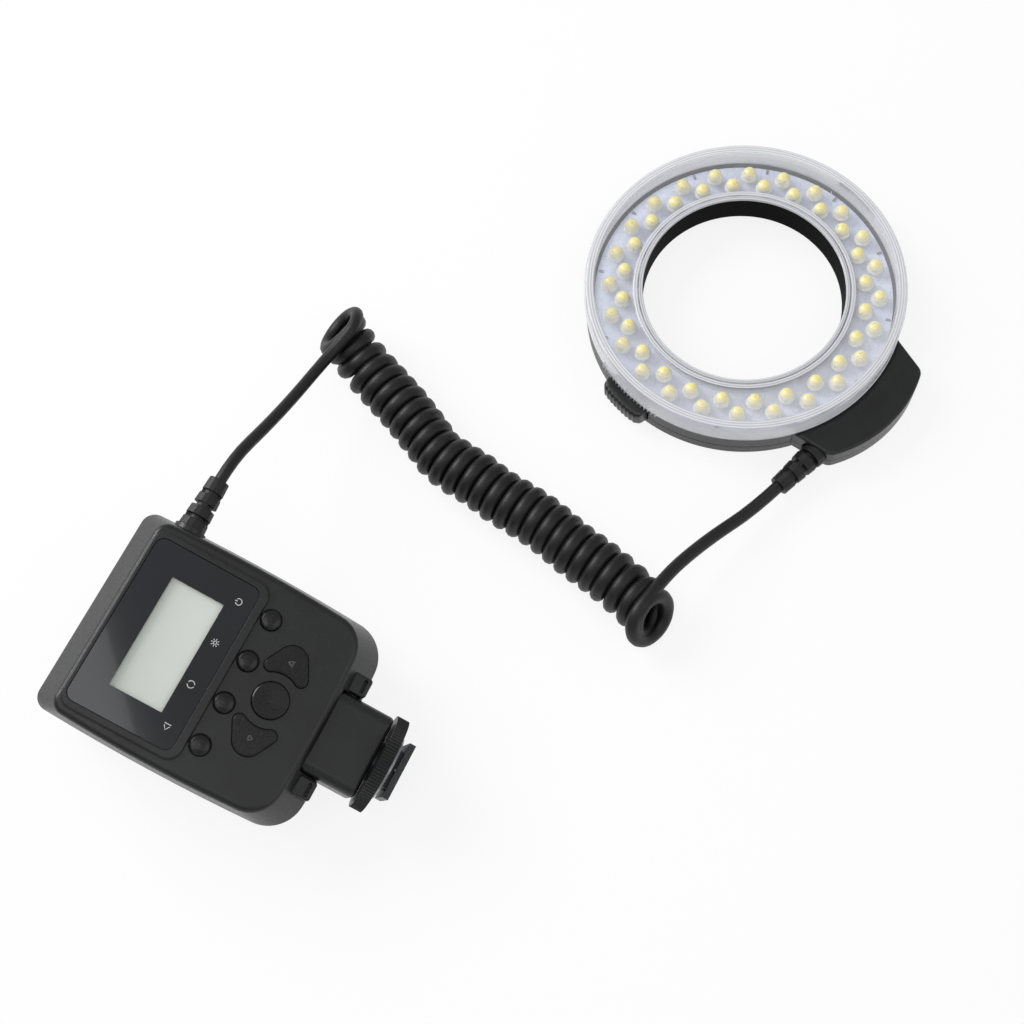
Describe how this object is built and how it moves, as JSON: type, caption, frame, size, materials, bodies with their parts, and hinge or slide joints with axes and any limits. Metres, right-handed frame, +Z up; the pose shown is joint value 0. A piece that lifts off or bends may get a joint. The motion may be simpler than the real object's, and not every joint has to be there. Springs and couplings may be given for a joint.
{
  "type": "led ring light",
  "caption": "Ring light head with a clear lamp cover and two release clips, joined by a curly cord to a shoe-mounted controller with display, buttons and battery door.",
  "frame": {"origin": "middle of the ring head bore on the surface that the light lies on", "axes": "+Z up out of the lamps, +X from the controller towards the ring head, +Y away from the shoe foot side"},
  "size_m": [0.292, 0.2391, 0.0576],
  "materials": {
    "black": "fine matte",
    "panel": "gloss",
    "clear": "clear polycarbonate",
    "board": "pale solder mask",
    "green_board": "green solder mask",
    "lamp": "clear resin over a yellow core",
    "chip": "matte",
    "rubber": "satin",
    "button": "satin",
    "steel": "satin",
    "brass": "plated",
    "aluminium": "anodised",
    "display": "pale grey-green",
    "backlight": "white frame",
    "cell": "plain wrap",
    "mat": "silicone"
  },
  "bodies": {
    "base": {"ring_rear_cover": "black", "ring_housing": "black", "bore_sleeve": "black", "led_board": "board", "outer_lamps": "lamp", "inner_lamps": "lamp", "board_chips": "chip", "clip_springs": "steel", "ring_screws": "steel", "block_cover": "black", "block_base": "black", "block_screws": "steel", "block_board": "green_board", "ring_relief": "rubber", "front_shell": "black", "rear_shell": "black", "shell_screws": "steel", "end_covers": "black", "display_window": "panel", "display_glass": "display", "display_backlight": "backlight", "button_mat": "mat", "main_board": "green_board", "battery_tray": "black", "battery_cells": "cell", "battery_contacts": "steel", "door_pin": "steel", "foot_neck": "black", "shoe_foot": "aluminium", "contact_pins": "brass", "controller_relief": "rubber", "curly_cord": "rubber", "cord_lead_ring": "rubber", "cord_lead_controller": "rubber"},
    "cover": {"clear_cover": "clear"},
    "left_clip": {"clip_pad_left": "black", "clip_yoke_left": "black"},
    "right_clip": {"clip_pad_right": "black", "clip_yoke_right": "black"},
    "power_key": {"power_button": "button"},
    "light_key": {"light_button": "button"},
    "mode_key": {"mode_button": "button"},
    "test_key": {"test_button": "button"},
    "set_key": {"set_button": "button"},
    "up_key": {"up_button": "button"},
    "down_key": {"down_button": "button"},
    "door": {"battery_door": "black", "door_contact": "steel"},
    "wheel": {"lock_wheel": "black"},
    "clamp": {"clamp_plate": "steel"},
    "pin": {"lock_pin": "steel"}
  },
  "joints": [
    {"name": "cover_twist", "type": "hinge", "parent": "base", "child": "cover", "pos_m": [0, 0, 0.015], "axis": [0, 0, 1], "range_deg": [0, 10]},
    {"name": "left_clip_press", "type": "slide", "parent": "base", "child": "left_clip", "axis": [0.749, 0.6626, 0], "range_m": [0, 0.0012], "stiffness_N_per_m": 1500},
    {"name": "right_clip_press", "type": "slide", "parent": "base", "child": "right_clip", "axis": [-0.749, -0.6626, 0], "range_m": [0, 0.0012], "stiffness_N_per_m": 1500},
    {"name": "power_press", "type": "slide", "parent": "base", "child": "power_key", "axis": [-0.2755, 0.1399, -0.9511], "range_m": [0, 0.0008], "stiffness_N_per_m": 600},
    {"name": "light_press", "type": "slide", "parent": "base", "child": "light_key", "axis": [-0.2755, 0.1399, -0.9511], "range_m": [0, 0.0008], "stiffness_N_per_m": 600},
    {"name": "mode_press", "type": "slide", "parent": "base", "child": "mode_key", "axis": [-0.2755, 0.1399, -0.9511], "range_m": [0, 0.0008], "stiffness_N_per_m": 600},
    {"name": "test_press", "type": "slide", "parent": "base", "child": "test_key", "axis": [-0.2755, 0.1399, -0.9511], "range_m": [0, 0.0008], "stiffness_N_per_m": 600},
    {"name": "set_press", "type": "slide", "parent": "base", "child": "set_key", "axis": [-0.2755, 0.1399, -0.9511], "range_m": [0, 0.0008], "stiffness_N_per_m": 600},
    {"name": "up_press", "type": "slide", "parent": "base", "child": "up_key", "axis": [-0.2755, 0.1399, -0.9511], "range_m": [0, 0.0008], "stiffness_N_per_m": 600},
    {"name": "down_press", "type": "slide", "parent": "base", "child": "down_key", "axis": [-0.2755, 0.1399, -0.9511], "range_m": [0, 0.0008], "stiffness_N_per_m": 600},
    {"name": "door_hinge", "type": "hinge", "parent": "base", "child": "door", "pos_m": [-0.21701, -0.15144, 0.02703], "axis": [-0.2425, 0.2033, -0.9486], "range_deg": [0, 95]},
    {"name": "wheel_turn", "type": "hinge", "parent": "base", "child": "wheel", "pos_m": [-0.12237, -0.16416, 0.01642], "axis": [0.848, -0.4306, -0.309], "range_deg": [0, 300]},
    {"name": "clamp_slide", "type": "slide", "parent": "base", "child": "clamp", "axis": [0.848, -0.4306, -0.309], "range_m": [0, 0.00095]},
    {"name": "pin_slide", "type": "slide", "parent": "base", "child": "pin", "axis": [0.848, -0.4306, -0.309], "range_m": [0, 0.00125]}
  ],
  "couplings": [
    {"joint": "clamp_slide", "follows": "wheel_turn", "m_per_rad": 0.00017},
    {"joint": "pin_slide", "follows": "wheel_turn", "m_per_rad": 0.00021}
  ]
}
